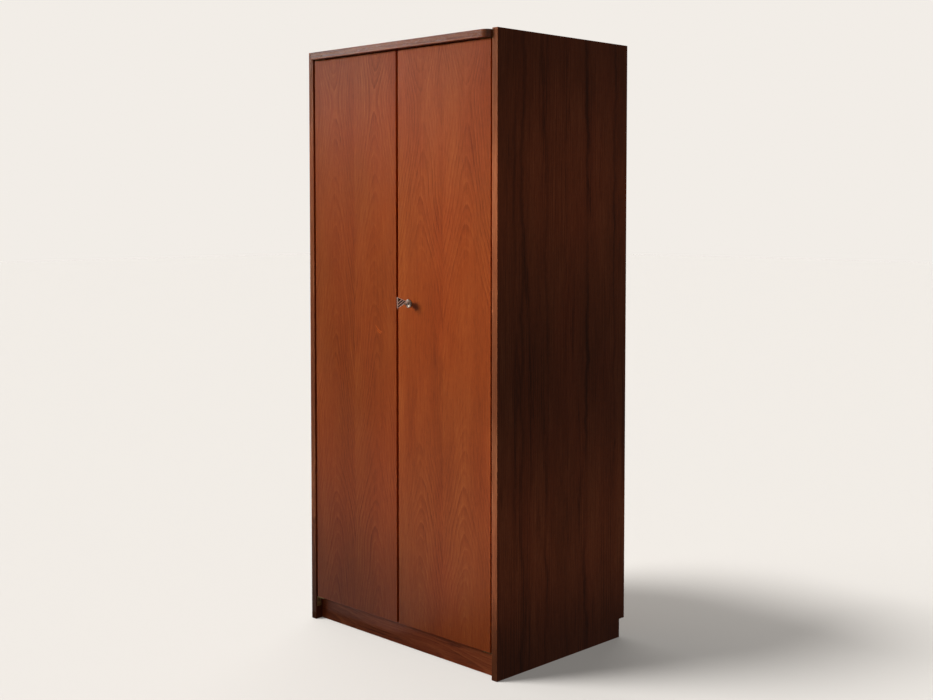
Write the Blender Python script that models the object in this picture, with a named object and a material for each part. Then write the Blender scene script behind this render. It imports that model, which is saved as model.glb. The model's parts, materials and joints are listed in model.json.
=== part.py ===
"""A two-door wardrobe, modelled piece by piece.

Units are metres and +Z is up. The front faces -Y. The origin lies on the floor, under the
middle of the object's box, key included. A place along Y is given as a depth: how far it lies
behind the front edges of the side panels. Pieces that move hang from empties on their axes.
"""

from math import asin, cos, pi, sin

import bmesh
import bpy
from mathutils import Matrix, Vector

# Overall size
WIDTH = 0.800
DEPTH = 0.555
HEIGHT = 1.760
KEY_REACH = 0.043
FRONT = -(DEPTH - KEY_REACH) / 2

# Boards
SIDE_THICK = 0.020
BOARD_THICK = 0.0196
SHELF_THICK = 0.018
BACK_THICK = 0.005
SOFTEN = 0.0010
GAP = 0.0003
INNER = WIDTH / 2 - SIDE_THICK
SKIRTING_DEPTH = 0.023
SKIRTING_HEIGHT = 0.055

# Top rail, plinths, bottom and top
RAIL_BOTTOM = 1.7355
RAIL_TOP = 1.7560
RAIL_PROUD = 0.020
RAIL_BACK = 0.050
PLINTH_DEPTH = 0.0256
PLINTH_TOP = 0.070
PLINTH_THICK = 0.018
REAR_PLINTH_DEPTH = 0.500
BOTTOM_TOP = PLINTH_TOP + GAP + BOARD_THICK
LATH_BOTTOM = 1.7155
LATH_BACK = 0.045
LATH_HALF = 0.335
FITTINGS_DEPTH = 0.060
BACK_DEPTH = 0.545

# Doors
DOOR_FACE = 0.002
DOOR_THICK = 0.020
DOOR_BACK = DOOR_FACE + DOOR_THICK
DOOR_BOTTOM = 0.073
DOOR_TOP = 1.7325
DOOR_EDGE = 0.3730
MEETING_HALF = 0.0048
STOP_DEPTH = DOOR_BACK + 0.001
RELIEF_DEPTH = 0.0290
RELIEF_LENGTH = 0.035

# Pivot hinges
PIVOT_X = 0.3635
PIVOT_DEPTH = DOOR_FACE + DOOR_THICK / 2
PIN_RADIUS = 0.003
PIN_LENGTH = 0.0135
LEAF_HALF = 0.006
LEAF_INNER_END = 0.330
LEAF_THICK = 0.0015

# Meeting strip on the left door, and the pocket that takes the lock's bolt
STRIP_LEFT = -0.034
STRIP_RIGHT = 0.002
STRIP_THICK = 0.012
STRIP_BOTTOM = 0.0935
STRIP_TOP = 1.7130
POCKET_LEFT = -0.008
POCKET_HALF = 0.014

# Sliding bolts on the left door
BOLT_X = -0.050
BAR_DEPTH = (0.0272, 0.0312)
BAR_HALF = 0.005
BAR_LENGTH = 0.080
BAR_CLEAR = 0.0006
HOUSING_HALF = 0.012
HOUSING_LENGTH = 0.060
STRAP_LENGTH = 0.010
SLOT_REACH = 0.015
KEEPER_THICK = 0.001
UPPER_TIP = 1.7115
LOWER_TIP = 0.0945

# Lock and key on the right door
KEY_X = 0.049
KEY_Z = 1.0145
CASE_X = (0.010, 0.072)
CASE_HALF = 0.025
CASE_BACK = 0.0345
CASE_WALL = 0.0012
LOCK_BAR_X = (0.0085, 0.060)
LOCK_BAR_DEPTH = (0.0296, 0.0326)
LOCK_BAR_HALF = 0.010
KEYHOLE_RADIUS = 0.0030
KEYHOLE_SLOT_HALF = 0.0014
KEYHOLE_DROP = 0.0088
SHANK_RADIUS = 0.0024
BIT_HALF = 0.0010
BIT_DROP = 0.0080
BIT_DEPTH = (0.0242, 0.0284)
SHANK_TIP = 0.0288
BOW_HALF_THICK = 0.0013
BOW_HALF_HEIGHT = 0.0168
BOW_NECK_DEPTH = -0.0095
ROSETTE_RADIUS = 0.0125
ROSETTE_Z = 1.0105
FOLLOWER_RADIUS = 0.0095

# Interior
PARTITION_HALF = 0.009
HAT_SHELF_Z = 1.460
RAIL_Z = 1.400
RAIL_DEPTH = 0.300
TUBE_RADIUS = 0.011
TUBE_WALL = 0.0012
SOCKET_RADIUS = 0.017
SOCKET_THICK = 0.009
SOCKET_MOUTH = 0.012
SHELF_COUNT = 4
SHELF_SIDE_GAP = 0.0015
PEG_RADIUS = 0.0025
PEG_LENGTH = 0.008
HEAD_RADIUS = 0.0042
HEAD_LENGTH = 0.009
HOLE_RADIUS = 0.0028
HOLE_DEPTH = 0.009
HOLE_PITCH = 0.032
PIN_DEPTHS = (0.110, 0.490)

SPIN = {
    "x": Matrix.Rotation(pi / 2, 3, "Y"),
    "y": Matrix.Rotation(-pi / 2, 3, "X"),
    "z": Matrix.Identity(3),
}


def clear_scene():
    for item in list(bpy.data.objects):
        bpy.data.objects.remove(item, do_unlink=True)


def finish(name, colour, roughness, metallic=0.0):
    """A plain Principled material."""
    made = bpy.data.materials.new(name)
    made.use_nodes = True
    shader = made.node_tree.nodes["Principled BSDF"]
    shader.inputs["Base Color"].default_value = (*colour, 1.0)
    shader.inputs["Roughness"].default_value = roughness
    shader.inputs["Metallic"].default_value = metallic
    return made


def make_finishes():
    return {
        "door_teak": finish("door_teak", (0.27, 0.085, 0.028), 0.38),
        "side_teak": finish("side_teak", (0.15, 0.050, 0.022), 0.42),
        "edge_teak": finish("edge_teak", (0.28, 0.11, 0.055), 0.40),
        "inner_wood": finish("inner_wood", (0.33, 0.16, 0.075), 0.50),
        "plywood": finish("plywood", (0.42, 0.27, 0.15), 0.65),
        "brass": finish("brass", (0.62, 0.45, 0.20), 0.35, 1.0),
        "nickel": finish("nickel", (0.66, 0.60, 0.52), 0.25, 1.0),
        "steel": finish("steel", (0.50, 0.50, 0.50), 0.35, 1.0),
    }


def add_empty(name, x, depth, z, parent=None):
    """An axis that moving pieces hang from."""
    empty = bpy.data.objects.new(name, None)
    bpy.context.collection.objects.link(empty)
    empty["place"] = (x, FRONT + depth, z)
    hang(empty, Vector((x, FRONT + depth, z)), parent)
    return empty


def hang(item, place, parent):
    """Puts an object at a world place, under a parent that isn't turned or scaled."""
    item.location = place
    if parent is not None:
        item.parent = parent
        item.location = place - Vector(parent["place"])


def add_piece(name, mesh, place, look, parent=None):
    """Turns a bmesh whose middle is at its own zero into an object at a world place."""
    bmesh.ops.recalc_face_normals(mesh, faces=mesh.faces)
    data = bpy.data.meshes.new(name)
    mesh.to_mesh(data)
    mesh.free()
    if look is not None:
        data.materials.append(look)
    piece = bpy.data.objects.new(name, data)
    bpy.context.collection.objects.link(piece)
    hang(piece, place, parent)
    return piece


def soften_edges(piece, width, segments=2):
    bevel = piece.modifiers.new("soft_edges", "BEVEL")
    bevel.width = width
    bevel.segments = segments
    bevel.limit_method = "ANGLE"


def block(name, x, depth, z, look, parent=None, soften=0.0):
    """A board or bar, from its low and high x, depth and z."""
    low = Vector((x[0], FRONT + depth[0], z[0]))
    high = Vector((x[1], FRONT + depth[1], z[1]))
    mesh = bmesh.new()
    bmesh.ops.create_cube(mesh, size=1.0)
    bmesh.ops.scale(mesh, vec=high - low, verts=mesh.verts)
    piece = add_piece(name, mesh, (low + high) / 2, look, parent)
    if soften:
        soften_edges(piece, soften)
    return piece


def prism(name, outline, plane, span, look, parent=None, soften=0.0):
    """An outline in two of the axes, such as "xy", pulled along the third from low to high.

    Y values, in the outline or in the span, are depths.
    """
    first, second = ("xyz".index(letter) for letter in plane)
    third = 3 - first - second
    mesh = bmesh.new()
    corners = []
    for point in outline:
        place = Vector((0.0, 0.0, 0.0))
        place[first] = point[0]
        place[second] = point[1]
        place[third] = span[0]
        corners.append(mesh.verts.new(place + Vector((0.0, FRONT, 0.0))))
    face = mesh.faces.new(corners)
    pulled = bmesh.ops.extrude_face_region(mesh, geom=[face])
    push = Vector((0.0, 0.0, 0.0))
    push[third] = span[1] - span[0]
    moved = [item for item in pulled["geom"] if isinstance(item, bmesh.types.BMVert)]
    bmesh.ops.translate(mesh, vec=push, verts=moved)
    middle = sum((vert.co for vert in mesh.verts), Vector()) / len(mesh.verts)
    bmesh.ops.translate(mesh, vec=-middle, verts=mesh.verts)
    piece = add_piece(name, mesh, middle, look, parent)
    if soften:
        soften_edges(piece, soften)
    return piece


def turned(name, profile, centre, axis, look, parent=None, steps=24):
    """A round piece: (radius, along) points spun about an axis through a centre (x, depth, z)."""
    mesh = bmesh.new()
    points = [mesh.verts.new((radius, 0.0, along)) for radius, along in profile]
    edges = []
    for here, there in zip(points, points[1:] + points[:1]):
        if here.co.x > 0 or there.co.x > 0:
            edges.append(mesh.edges.new((here, there)))
    bmesh.ops.spin(
        mesh,
        geom=points + edges,
        axis=(0.0, 0.0, 1.0),
        cent=(0.0, 0.0, 0.0),
        angle=2 * pi,
        steps=steps,
        use_merge=True,
    )
    bmesh.ops.remove_doubles(mesh, verts=mesh.verts, dist=1e-6)
    bmesh.ops.rotate(mesh, cent=(0.0, 0.0, 0.0), matrix=SPIN[axis], verts=mesh.verts)
    place = Vector((centre[0], FRONT + centre[1], centre[2]))
    piece = add_piece(name, mesh, place, look, parent)
    piece.data.shade_smooth()
    piece.data.set_sharp_from_angle(angle=0.6)
    return piece


def rod(name, radius, low, high, centre, axis, look, parent=None, steps=24):
    """A plain cylinder from low to high along its axis, measured from its centre."""
    profile = [(0.0, low), (radius, low), (radius, high), (0.0, high)]
    return turned(name, profile, centre, axis, look, parent, steps)


def combine(piece, tool, operation):
    """Cuts or joins a piece with a tool, which is a guide and not a piece of the object."""
    step = piece.modifiers.new(tool.name, "BOOLEAN")
    step.operation = operation
    step.object = tool
    step.solver = "EXACT"
    tool.hide_render = True
    tool.display_type = "WIRE"


def cut(piece, tool):
    combine(piece, tool, "DIFFERENCE")


def join(piece, tool):
    combine(piece, tool, "UNION")


def arc(centre, radius, start, end, steps):
    """Points on an arc, angles in radians."""
    points = []
    for step in range(steps + 1):
        angle = start + (end - start) * step / steps
        points.append((centre[0] + radius * cos(angle), centre[1] + radius * sin(angle)))
    return points


def side_name(sign):
    return "left" if sign < 0 else "right"


def ordered(first, second):
    return (min(first, second), max(first, second))


# Carcass


def build_side_panel(sign, looks):
    outline = [
        (0.0, 0.0),
        (DEPTH - SKIRTING_DEPTH, 0.0),
        (DEPTH - SKIRTING_DEPTH, SKIRTING_HEIGHT),
        (DEPTH, SKIRTING_HEIGHT),
        (DEPTH, HEIGHT),
        (0.0, HEIGHT),
    ]
    name = side_name(sign) + "_side_panel"
    span = ordered(sign * INNER, sign * WIDTH / 2)
    return prism(name, outline, "yz", span, looks["side_teak"], soften=SOFTEN)


def build_top(looks):
    reach = INNER - GAP
    right = arc((reach - RAIL_PROUD, 0.0), RAIL_PROUD, 0.0, -pi / 2, 8)
    left = arc((RAIL_PROUD - reach, 0.0), RAIL_PROUD, -pi / 2, -pi, 8)
    outline = [(-reach, RAIL_BACK), (reach, RAIL_BACK)] + right + left
    span = (RAIL_BOTTOM, RAIL_TOP)
    prism("top_rail", outline, "xy", span, looks["edge_teak"], soften=0.0006)
    block(
        "top_panel",
        (-reach, reach),
        (RAIL_BACK + GAP, BACK_DEPTH - GAP),
        (RAIL_TOP - BOARD_THICK, RAIL_TOP),
        looks["side_teak"],
    )
    lath = block(
        "door_stop_lath",
        (-LATH_HALF, LATH_HALF),
        (STOP_DEPTH, LATH_BACK),
        (LATH_BOTTOM, RAIL_BOTTOM - GAP),
        looks["inner_wood"],
        soften=0.0006,
    )
    cut(lath, bolt_slot("upper_lath_slot", (LATH_BOTTOM - 0.01, LATH_BOTTOM + SLOT_REACH)))


def build_bottom(looks):
    reach = INNER - GAP
    relief = reach - RELIEF_LENGTH
    outline = [
        (-reach, RELIEF_DEPTH),
        (-relief, RELIEF_DEPTH),
        (-relief, STOP_DEPTH),
        (relief, STOP_DEPTH),
        (relief, RELIEF_DEPTH),
        (reach, RELIEF_DEPTH),
        (reach, BACK_DEPTH - GAP),
        (-reach, BACK_DEPTH - GAP),
    ]
    span = (PLINTH_TOP + GAP, BOTTOM_TOP)
    panel = prism("bottom_panel", outline, "xy", span, looks["inner_wood"])
    cut(panel, bolt_slot("lower_panel_slot", (BOTTOM_TOP - SLOT_REACH, BOTTOM_TOP + 0.01)))
    block(
        "front_plinth",
        (-reach, reach),
        (PLINTH_DEPTH, PLINTH_DEPTH + PLINTH_THICK),
        (0.0, PLINTH_TOP),
        looks["door_teak"],
        soften=0.0006,
    )
    block(
        "rear_plinth",
        (-reach, reach),
        (REAR_PLINTH_DEPTH, REAR_PLINTH_DEPTH + PLINTH_THICK),
        (0.0, PLINTH_TOP),
        looks["inner_wood"],
    )


def build_back(looks):
    block(
        "back_panel",
        (GAP - INNER, INNER - GAP),
        (BACK_DEPTH, BACK_DEPTH + BACK_THICK),
        (SKIRTING_HEIGHT + 0.003, RAIL_TOP),
        looks["plywood"],
    )


# Interior


def shelf_heights():
    """Undersides of the shelves, which share the space between bottom and top evenly."""
    space = RAIL_BOTTOM - BOTTOM_TOP
    pitch = (space - SHELF_COUNT * SHELF_THICK) / (SHELF_COUNT + 1) + SHELF_THICK
    return [BOTTOM_TOP - SHELF_THICK + pitch * number for number in range(1, SHELF_COUNT + 1)]


def pin_height(underside):
    return underside - GAP - HEAD_RADIUS


def drill_holes(panel, face_x, sign):
    """Three holes in a column at each pin place, so a shelf can move up or down a step."""
    holes = bmesh.new()
    for underside in shelf_heights():
        for depth in PIN_DEPTHS:
            for step in (-1, 0, 1):
                start = len(holes.verts)
                bmesh.ops.create_cone(
                    holes,
                    cap_ends=True,
                    segments=8,
                    radius1=HOLE_RADIUS,
                    radius2=HOLE_RADIUS,
                    depth=2 * HOLE_DEPTH,
                )
                holes.verts.ensure_lookup_table()
                added = holes.verts[start:]
                bmesh.ops.rotate(holes, cent=(0, 0, 0), matrix=SPIN["x"], verts=added)
                place = (face_x, FRONT + depth, pin_height(underside) + step * HOLE_PITCH)
                bmesh.ops.translate(holes, vec=place, verts=added)
    tool = add_piece(side_name(sign) + "_peg_holes", holes, Vector(), None)
    cut(panel, tool)


def build_shelves(looks):
    for number, underside in enumerate(shelf_heights(), start=1):
        block(
            f"shelf_{number}",
            (PARTITION_HALF + SHELF_SIDE_GAP, INNER - SHELF_SIDE_GAP),
            (FITTINGS_DEPTH + 0.002, BACK_DEPTH - 0.003),
            (underside, underside + SHELF_THICK),
            looks["inner_wood"],
            soften=SOFTEN,
        )
        for sign, face_x in ((-1, PARTITION_HALF), (1, INNER)):
            for place, depth in zip(("front", "back"), PIN_DEPTHS):
                name = f"shelf_{number}_pin_{side_name(sign)}_{place}"
                build_shelf_pin(name, face_x, -sign, depth, pin_height(underside), looks)


def build_shelf_pin(name, face_x, outward, depth, height, looks):
    """A peg in a hole, with a wider head that carries the shelf."""
    profile = [
        (0.0, -PEG_LENGTH * outward),
        (PEG_RADIUS, -PEG_LENGTH * outward),
        (PEG_RADIUS, GAP * outward),
        (HEAD_RADIUS, GAP * outward),
        (HEAD_RADIUS, HEAD_LENGTH * outward),
        (0.0, HEAD_LENGTH * outward),
    ]
    turned(name, profile, (face_x, depth, height), "x", looks["brass"], steps=12)


def build_hanging_space(looks):
    block(
        "hat_shelf",
        (GAP - INNER, -PARTITION_HALF - GAP),
        (FITTINGS_DEPTH + 0.002, BACK_DEPTH - GAP),
        (HAT_SHELF_Z, HAT_SHELF_Z + SHELF_THICK),
        looks["inner_wood"],
        soften=SOFTEN,
    )
    ends = (-INNER + GAP, -PARTITION_HALF - GAP)
    middle = sum(ends) / 2
    half = (ends[1] - ends[0]) / 2 - GAP
    inner_radius = TUBE_RADIUS - TUBE_WALL
    profile = [
        (TUBE_RADIUS, half),
        (TUBE_RADIUS, -half),
        (inner_radius, -half),
        (inner_radius, half),
    ]
    centre = (middle, RAIL_DEPTH, RAIL_Z)
    turned("hanging_rail", profile, centre, "x", looks["steel"], steps=24)
    build_socket("rail_socket_left", (ends[0], ends[0] + SOCKET_THICK), looks)
    build_socket("rail_socket_right", (ends[1] - SOCKET_THICK, ends[1]), looks)


def build_socket(name, span, looks):
    """A cup open at the top, so the tube drops in."""
    centre = (RAIL_DEPTH, RAIL_Z)
    lift = asin(SOCKET_MOUTH / SOCKET_RADIUS)
    hollow = TUBE_RADIUS + GAP
    outer = arc(centre, SOCKET_RADIUS, pi - lift, 2 * pi + lift, 20)
    inner = arc(centre, hollow, 2 * pi, pi, 12)
    mouth = RAIL_Z + SOCKET_MOUTH
    outline = outer + [(RAIL_DEPTH + hollow, mouth)] + inner + [(RAIL_DEPTH - hollow, mouth)]
    prism(name, outline, "yz", span, looks["steel"])


def build_partition(looks):
    partition = block(
        "partition",
        (-PARTITION_HALF, PARTITION_HALF),
        (FITTINGS_DEPTH, BACK_DEPTH - GAP),
        (BOTTOM_TOP + GAP, RAIL_TOP - BOARD_THICK - GAP),
        looks["inner_wood"],
    )
    soften_edges(partition, 0.0006)
    return partition


# Pivot hinges


def build_upper_pivot(sign, looks, door, axis):
    """A leaf with a pin under the top rail, and a leaf with a hole let into the door's top."""
    side = side_name(sign)
    depth = (PIVOT_DEPTH - LEAF_HALF, PIVOT_DEPTH + LEAF_HALF)
    level = RAIL_BOTTOM - GAP
    x = ordered(sign * (INNER - 0.002), sign * LEAF_INNER_END)
    z = (level - 0.0012, level)
    leaf = block(f"upper_{side}_pivot_leaf", x, depth, z, looks["brass"])
    centre = (sign * PIVOT_X, PIVOT_DEPTH, level)
    pin = rod(f"upper_{side}_pin", PIN_RADIUS, -0.0006 - PIN_LENGTH, -0.0006, centre, "z", None)
    join(leaf, pin)
    top = DOOR_TOP + GAP
    build_door_leaf(f"upper_{side}_door_leaf", sign, (top - LEAF_THICK, top), looks, axis)
    cut_pivot_seat(door, f"upper_{side}", sign, top - LEAF_THICK - GAP, 1)


def build_lower_pivot(sign, looks, door, axis):
    """An angle bracket on the side panel, with a pin that carries the door."""
    side = side_name(sign)
    depth = (PIVOT_DEPTH - 0.008, PIVOT_DEPTH + 0.008)
    level = DOOR_BOTTOM - 0.0018
    wall = sign * (INNER - GAP)
    x = ordered(wall, sign * 0.345)
    bracket = block(
        f"lower_{side}_pivot_bracket", x, depth, (level - LEAF_THICK, level), looks["brass"]
    )
    x = ordered(wall, wall - sign * LEAF_THICK)
    inset = (depth[0] + 0.0002, depth[1] - 0.0002)
    flange = block(f"lower_{side}_flange", x, inset, (0.040, level - 0.0004), None)
    join(bracket, flange)
    centre = (sign * PIVOT_X, PIVOT_DEPTH, level)
    pin = rod(f"lower_{side}_pin", PIN_RADIUS, -0.0008, PIN_LENGTH, centre, "z", None)
    join(bracket, pin)
    bottom = DOOR_BOTTOM - GAP
    build_door_leaf(f"lower_{side}_door_leaf", sign, (bottom, bottom + LEAF_THICK), looks, axis)
    cut_pivot_seat(door, f"lower_{side}", sign, bottom + LEAF_THICK + GAP, -1)


def build_door_leaf(name, sign, z, looks, axis):
    x = ordered(sign * (DOOR_EDGE - 0.001), sign * LEAF_INNER_END)
    depth = (PIVOT_DEPTH - LEAF_HALF, PIVOT_DEPTH + LEAF_HALF)
    leaf = block(name, x, depth, z, looks["brass"], axis)
    centre = (sign * PIVOT_X, PIVOT_DEPTH, z[0])
    cut(leaf, rod(name + "_hole", PIN_RADIUS + GAP, -0.01, 0.01, centre, "z", None))


def cut_pivot_seat(door, label, sign, floor_z, up):
    """A shallow recess for the leaf, open at the door's end, and a deeper hole for the pin."""
    x = ordered(sign * (DOOR_EDGE + 0.01), sign * (LEAF_INNER_END - GAP))
    depth = (PIVOT_DEPTH - LEAF_HALF - GAP, PIVOT_DEPTH + LEAF_HALF + GAP)
    cut(door, block(label + "_seat", x, depth, ordered(floor_z, floor_z + up * 0.01), None))
    centre = (sign * PIVOT_X, PIVOT_DEPTH, floor_z)
    low, high = ordered(-up * PIN_LENGTH, up * 0.005)
    cut(door, rod(label + "_pin_hole", PIN_RADIUS + 2 * GAP, low, high, centre, "z", None))


# Left door


def build_door(sign, looks, axis):
    x = ordered(sign * MEETING_HALF, sign * DOOR_EDGE)
    name = side_name(sign) + "_door"
    z = (DOOR_BOTTOM, DOOR_TOP)
    return block(name, x, (DOOR_FACE, DOOR_BACK), z, looks["door_teak"], axis, soften=0.0008)


def bolt_slot(name, z):
    """The slot that a sliding bolt drops into."""
    x = (BOLT_X - BAR_HALF - BAR_CLEAR, BOLT_X + BAR_HALF + BAR_CLEAR)
    depth = (BAR_DEPTH[0] - BAR_CLEAR, BAR_DEPTH[1] + BAR_CLEAR)
    return block(name, x, depth, z, None)


def build_keeper(name, low, looks):
    """A thin plate with a slot, over the slot in the board behind it."""
    x = (BOLT_X - HOUSING_HALF, BOLT_X + HOUSING_HALF)
    z = (low, low + KEEPER_THICK)
    keeper = block(name, x, (STOP_DEPTH + 0.001, STOP_DEPTH + 0.013), z, looks["brass"])
    cut(keeper, bolt_slot(name + "_slot", (z[0] - 0.01, z[1] + 0.01)))


def build_sliding_bolt(label, up, tip_z, looks, axis):
    """A flat bar in two straps on a plate. It slides towards its tip, up or down."""
    bar_z = ordered(tip_z, tip_z - up * BAR_LENGTH)
    x = (BOLT_X - BAR_HALF, BOLT_X + BAR_HALF)
    slide = add_empty(label + "_slide_axis", BOLT_X, sum(BAR_DEPTH) / 2, tip_z, axis)
    bar = block(label + "_bar", x, BAR_DEPTH, bar_z, looks["brass"], slide)
    soften_edges(bar, 0.0005, 1)
    middle_z = tip_z - up * (BAR_LENGTH / 2 + 0.008)
    knob_z = middle_z - up * 0.0075
    profile = [
        (0.0, 0.0),
        (0.0025, 0.0),
        (0.0025, 0.0040),
        (0.0042, 0.0055),
        (0.0042, 0.0080),
        (0.0, 0.0090),
    ]
    centre = (BOLT_X, BAR_DEPTH[1] - 0.001, knob_z)
    join(bar, turned(label + "_knob", profile, centre, "y", None, steps=16))
    plate_z = (middle_z - HOUSING_LENGTH / 2, middle_z + HOUSING_LENGTH / 2)
    x = (BOLT_X - HOUSING_HALF, BOLT_X + HOUSING_HALF)
    depth = (DOOR_BACK + GAP, DOOR_BACK + GAP + LEAF_THICK)
    housing = block(label + "_housing", x, depth, plate_z, looks["brass"], axis)
    for number, start in enumerate((plate_z[0] + 0.002, plate_z[1] - 0.002 - STRAP_LENGTH)):
        x = (BOLT_X - 0.0085, BOLT_X + 0.0085)
        depth = (DOOR_BACK + GAP + 0.0006, BAR_DEPTH[1] + 0.0022)
        z = (start, start + STRAP_LENGTH)
        join(housing, block(f"{label}_strap_{number}", x, depth, z, None))
    cut(housing, bolt_slot(label + "_tunnel", (plate_z[0] - 0.01, plate_z[1] + 0.01)))


def build_left_door(looks, axis):
    door = build_door(-1, looks, axis)
    x = (STRIP_LEFT, STRIP_RIGHT)
    depth = (DOOR_BACK + GAP, DOOR_BACK + GAP + STRIP_THICK)
    z = (STRIP_BOTTOM, STRIP_TOP)
    strip = block("meeting_strip", x, depth, z, looks["edge_teak"], axis)
    soften_edges(strip, 0.0006)
    x = (POCKET_LEFT, STRIP_RIGHT + 0.01)
    depth = (LOCK_BAR_DEPTH[0] - 0.0011, CASE_BACK + 0.01)
    z = (KEY_Z - POCKET_HALF, KEY_Z + POCKET_HALF)
    cut(strip, block("strike_pocket", x, depth, z, None))
    strip_back = DOOR_BACK + GAP + STRIP_THICK
    block(
        "strike_plate",
        (STRIP_LEFT + 0.004, STRIP_RIGHT - 0.0005),
        (strip_back + GAP, strip_back + GAP + 0.0012),
        (KEY_Z - 0.024, KEY_Z + 0.024),
        looks["brass"],
        axis,
    )
    build_sliding_bolt("upper_bolt", 1, UPPER_TIP, looks, axis)
    build_sliding_bolt("lower_bolt", -1, LOWER_TIP, looks, axis)
    return door


# Right door, lock and key


def cut_keyhole(piece, label):
    """A round hole with a slot below it, right through the piece."""
    centre = (KEY_X, 0.0, KEY_Z)
    cut(piece, rod(label + "_keyhole", KEYHOLE_RADIUS, -0.02, 0.05, centre, "y", None, steps=16))
    x = (KEY_X - KEYHOLE_SLOT_HALF, KEY_X + KEYHOLE_SLOT_HALF)
    z = (KEY_Z - KEYHOLE_DROP, KEY_Z)
    cut(piece, block(label + "_keyslot", x, (-0.02, 0.05), z, None))


def build_rosette(looks, axis):
    """A dished round plate on the door's face, with the keyhole in it."""
    back = DOOR_FACE - GAP
    profile = [
        (0.0, back),
        (ROSETTE_RADIUS, back),
        (ROSETTE_RADIUS, back - 0.0012),
        (ROSETTE_RADIUS - 0.0008, back - 0.0028),
        (ROSETTE_RADIUS - 0.0018, back - 0.0034),
        (ROSETTE_RADIUS - 0.0028, back - 0.0030),
        (ROSETTE_RADIUS - 0.0048, back - 0.0018),
        (ROSETTE_RADIUS - 0.0075, back - 0.0011),
        (0.0, back - 0.0010),
    ]
    centre = (KEY_X, 0.0, ROSETTE_Z)
    rosette = turned("escutcheon", profile, centre, "y", looks["nickel"], axis, steps=32)
    cut_keyhole(rosette, "escutcheon")


def build_lock(looks, axis):
    front = DOOR_BACK + GAP
    z = (KEY_Z - CASE_HALF, KEY_Z + CASE_HALF)
    case = block("lock_case", CASE_X, (front, CASE_BACK), z, looks["steel"], axis)
    x = (CASE_X[0] + CASE_WALL, CASE_X[1] - CASE_WALL)
    inner_z = (z[0] + CASE_WALL, z[1] - CASE_WALL)
    cut(case, block("case_hollow", x, (0.0, CASE_BACK - CASE_WALL), inner_z, None))
    x = (CASE_X[0] - 0.01, CASE_X[0] + 0.01)
    slot_depth = (LOCK_BAR_DEPTH[0] - 0.0005, LOCK_BAR_DEPTH[1] + 0.0005)
    slot_z = (KEY_Z - LOCK_BAR_HALF - 0.0006, KEY_Z + LOCK_BAR_HALF + 0.0006)
    cut(case, block("case_bolt_slot", x, slot_depth, slot_z, None))
    bolt_axis = add_empty("lock_bolt_axis", LOCK_BAR_X[0], sum(LOCK_BAR_DEPTH) / 2, KEY_Z, axis)
    z = (KEY_Z - LOCK_BAR_HALF, KEY_Z + LOCK_BAR_HALF)
    bolt = block("lock_bolt", LOCK_BAR_X, LOCK_BAR_DEPTH, z, looks["brass"], bolt_axis)
    soften_edges(bolt, 0.0004, 1)


def build_follower(looks, key_axis):
    """The round core that the key's bit turns."""
    centre = (KEY_X, 0.0, KEY_Z)
    low, high = DOOR_BACK + 0.0012, LOCK_BAR_DEPTH[0] - 0.0006
    follower = rod(
        "lock_follower", FOLLOWER_RADIUS, low, high, centre, "y", looks["brass"], key_axis, 28
    )
    cut_keyhole(follower, "follower")


def bow_outline():
    """A fan: a narrow neck at the shank, straight flanks, round corners and a bowed outer edge."""
    corner = 0.0022
    edge = 0.0012 - KEY_REACH
    high = BOW_HALF_HEIGHT - corner
    upper = arc((edge + corner, high), corner, 0.42 * pi, pi * 0.97, 5)
    outer = [(-KEY_REACH, 0.006), (-KEY_REACH, -0.006)]
    lower = [(depth, -height) for depth, height in reversed(upper)]
    neck = SHANK_RADIUS + 0.0010
    return [(BOW_NECK_DEPTH, neck)] + upper + outer + lower + [(BOW_NECK_DEPTH, -neck)]


def build_key(looks, key_axis):
    """A bit key: a fan-shaped bow that stands upright, a collar, a shank and a bit."""
    outline = [(depth, KEY_Z + height) for depth, height in bow_outline()]
    span = (KEY_X - BOW_HALF_THICK, KEY_X + BOW_HALF_THICK)
    key = prism("key", outline, "yz", span, looks["nickel"], key_axis)
    collar = BOW_NECK_DEPTH + 0.0035
    profile = [
        (0.0, BOW_NECK_DEPTH - 0.003),
        (SHANK_RADIUS, BOW_NECK_DEPTH - 0.003),
        (SHANK_RADIUS, BOW_NECK_DEPTH + 0.001),
        (SHANK_RADIUS + 0.0011, BOW_NECK_DEPTH + 0.0015),
        (SHANK_RADIUS + 0.0011, collar - 0.0005),
        (SHANK_RADIUS, collar),
        (SHANK_RADIUS, SHANK_TIP),
        (0.0, SHANK_TIP),
    ]
    centre = (KEY_X, 0.0, KEY_Z)
    join(key, turned("key_shank", profile, centre, "y", None, steps=20))
    x = (KEY_X - BIT_HALF, KEY_X + BIT_HALF)
    join(key, block("key_bit", x, BIT_DEPTH, (KEY_Z - BIT_DROP, KEY_Z - 0.001), None))


def build_right_door(looks, axis):
    door = build_door(1, looks, axis)
    cut_keyhole(door, "door")
    build_rosette(looks, axis)
    build_lock(looks, axis)
    key_axis = add_empty("key_axis", KEY_X, DOOR_FACE, KEY_Z, axis)
    build_follower(looks, key_axis)
    build_key(looks, key_axis)
    return door


def main():
    clear_scene()
    looks = make_finishes()
    build_side_panel(-1, looks)
    drill_holes(build_side_panel(1, looks), INNER, 1)
    build_top(looks)
    build_bottom(looks)
    build_back(looks)
    drill_holes(build_partition(looks), PARTITION_HALF, -1)
    build_shelves(looks)
    build_hanging_space(looks)
    build_keeper("upper_bolt_keeper", LATH_BOTTOM - GAP - KEEPER_THICK, looks)
    build_keeper("lower_bolt_keeper", BOTTOM_TOP + GAP, looks)
    for sign, build in ((-1, build_left_door), (1, build_right_door)):
        axis = add_empty(side_name(sign) + "_door_axis", sign * PIVOT_X, PIVOT_DEPTH, 0.0)
        door = build(looks, axis)
        build_upper_pivot(sign, looks, door, axis)
        build_lower_pivot(sign, looks, door, axis)


main()
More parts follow.
